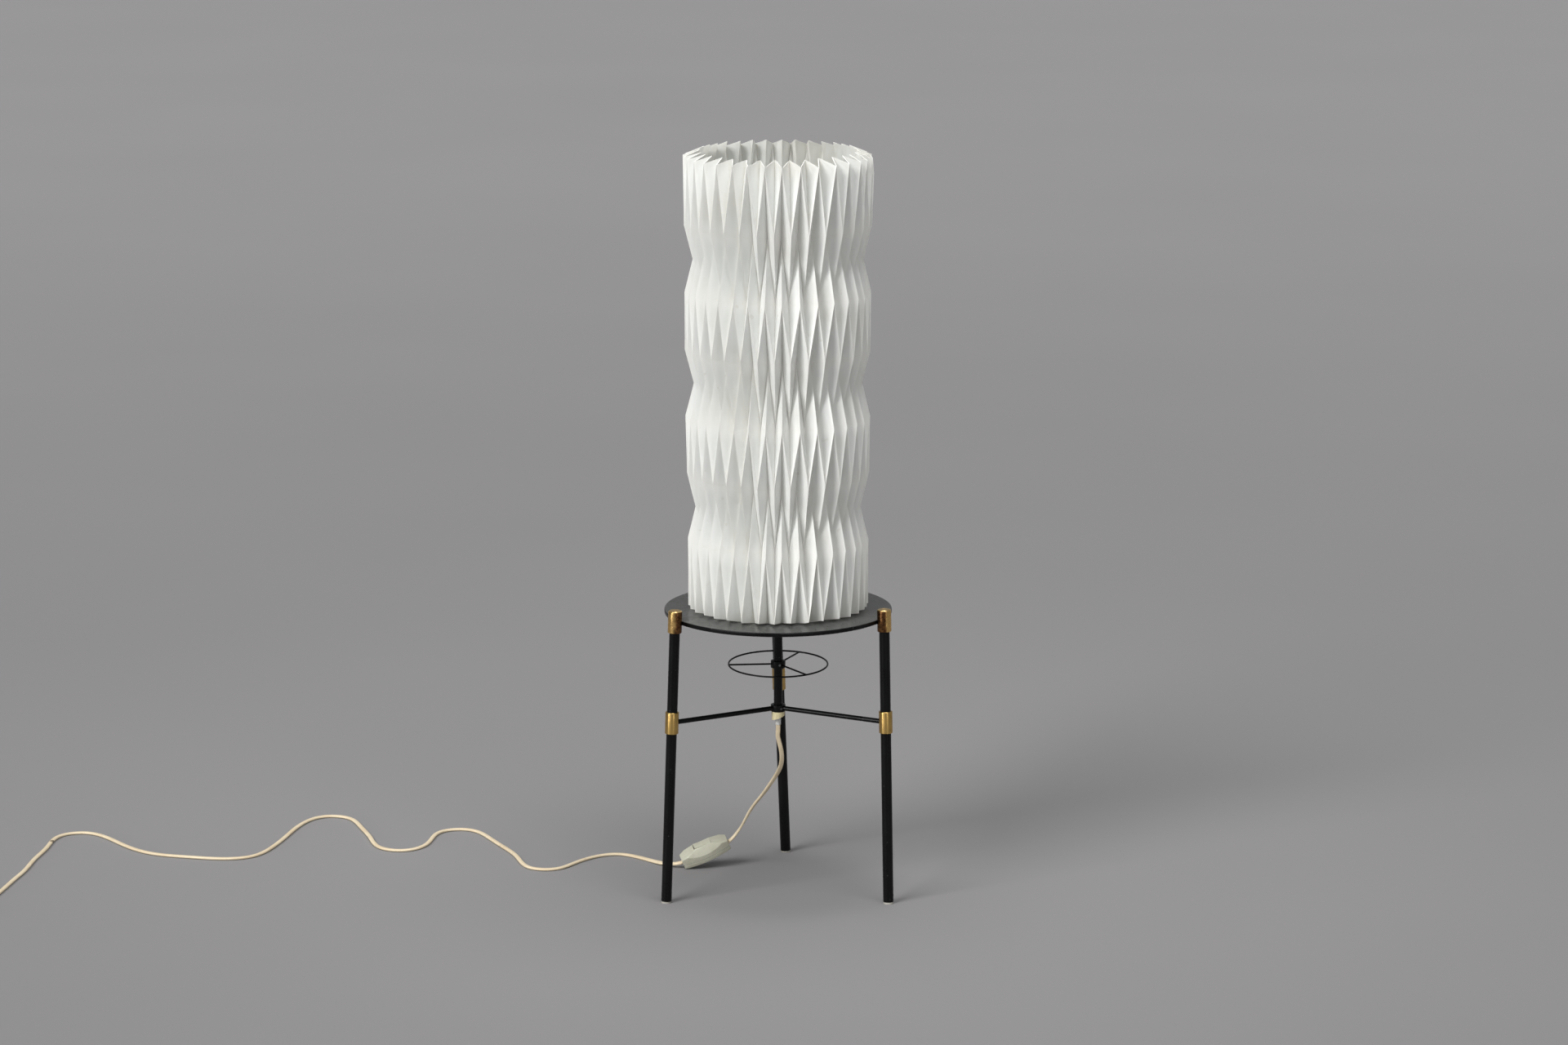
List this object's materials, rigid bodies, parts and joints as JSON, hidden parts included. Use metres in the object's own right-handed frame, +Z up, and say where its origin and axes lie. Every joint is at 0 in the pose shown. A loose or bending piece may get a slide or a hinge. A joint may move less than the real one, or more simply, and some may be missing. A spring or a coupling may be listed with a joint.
{
  "type": "table lamp",
  "caption": "Table lamp with a tall folded card shade standing on a round tray, three leaning legs with a rod spreader, a wire ring on the stem and a flat lead with a rocker switch.",
  "frame": {"origin": "on the stem's axis at the height of the table top that the three feet stand on", "axes": "+Z up along the stem, +Y from the stem towards the back leg's side, -Y towards the viewer of the picture, +X to the viewer's right"},
  "size_m": [1.1326, 0.4479, 0.8633],
  "materials": {
    "folded_card": "matte folded card, off-white",
    "black_lacquer": "satin black lacquer",
    "dark_brass": "turned brass with a dark patina",
    "bright_brass": "satin turned brass",
    "pale_glide": "matte pale plastic",
    "zinc_screw": "zinc-plated steel",
    "cream_plastic": "aged cream plastic",
    "clear_plastic": "clear soft plastic",
    "cream_lead": "soft cream sheath",
    "switch_ivory": "greyed ivory plastic, low gloss",
    "plug_metal": "nickel-plated brass",
    "holder_black": "black moulded plastic",
    "holder_ceramic": "plain ceramic",
    "contact_brass": "sprung brass",
    "bulb_metal": "thin pressed metal",
    "frosted_glass": "frosted white glass"
  },
  "bodies": {
    "lamp": {"tray": "black_lacquer", "leg_left": "black_lacquer", "leg_right": "black_lacquer", "leg_back": "black_lacquer", "cap_left": "dark_brass", "cap_right": "dark_brass", "cap_back": "dark_brass", "sleeve_left": "bright_brass", "sleeve_right": "bright_brass", "sleeve_back": "bright_brass", "foot_left": "pale_glide", "foot_right": "pale_glide", "foot_back": "pale_glide", "spreader_hub": "black_lacquer", "rod_left": "black_lacquer", "rod_right": "black_lacquer", "rod_back": "black_lacquer", "hub_screw": "zinc_screw", "stem": "black_lacquer", "tray_washer": "zinc_screw", "stem_nut": "zinc_screw", "wire_ring": "black_lacquer", "spoke_left": "black_lacquer", "spoke_front": "black_lacquer", "spoke_right": "black_lacquer", "ring_collar": "black_lacquer", "collar_screw": "zinc_screw", "cord_bush": "cream_plastic", "clear_sleeve": "clear_plastic", "stem_lead": "cream_lead", "cord_upper": "cream_lead", "switch_base": "switch_ivory", "switch_cover": "switch_ivory", "switch_pin": "zinc_screw", "cord_lower": "cream_lead", "cord_coil": "cream_lead", "plug_relief": "cream_plastic", "plug_body": "cream_plastic", "plug_pin_left": "plug_metal", "plug_pin_right": "plug_metal", "pin_sleeve_left": "cream_plastic", "pin_sleeve_right": "cream_plastic", "holder_cup": "holder_black", "holder_shell": "holder_black", "holder_ring": "holder_black", "holder_insert": "holder_ceramic", "holder_contact": "contact_brass"},
    "shade": {"shade": "folded_card"},
    "rocker": {"switch_rocker": "switch_ivory"},
    "bulb_rise": {"bulb_contact": "bulb_metal"},
    "bulb": {"bulb_cap": "bulb_metal", "bulb_glass": "frosted_glass"}
  },
  "joints": [
    {"name": "shade_lift", "type": "slide", "parent": "lamp", "child": "shade", "axis": [0, 0, 1], "range_m": [0, 0.25]},
    {"name": "rocker_press", "type": "hinge", "parent": "lamp", "child": "rocker", "pos_m": [-0.0866, 0.07689, 0.02541], "axis": [0.2136, -0.9391, -0.2691], "range_deg": [0, 8]},
    {"name": "bulb_rise", "type": "slide", "parent": "lamp", "child": "bulb_rise", "axis": [0, 0, 1], "range_m": [0, 0.0146]},
    {"name": "bulb_turn", "type": "hinge", "parent": "bulb_rise", "child": "bulb", "pos_m": [0, 0, 0.378], "axis": [0, 0, 1], "range_deg": [0, 1440]}
  ],
  "couplings": [
    {"joint": "bulb_rise", "follows": "bulb_turn", "m_per_rad": 0.00057757}
  ]
}
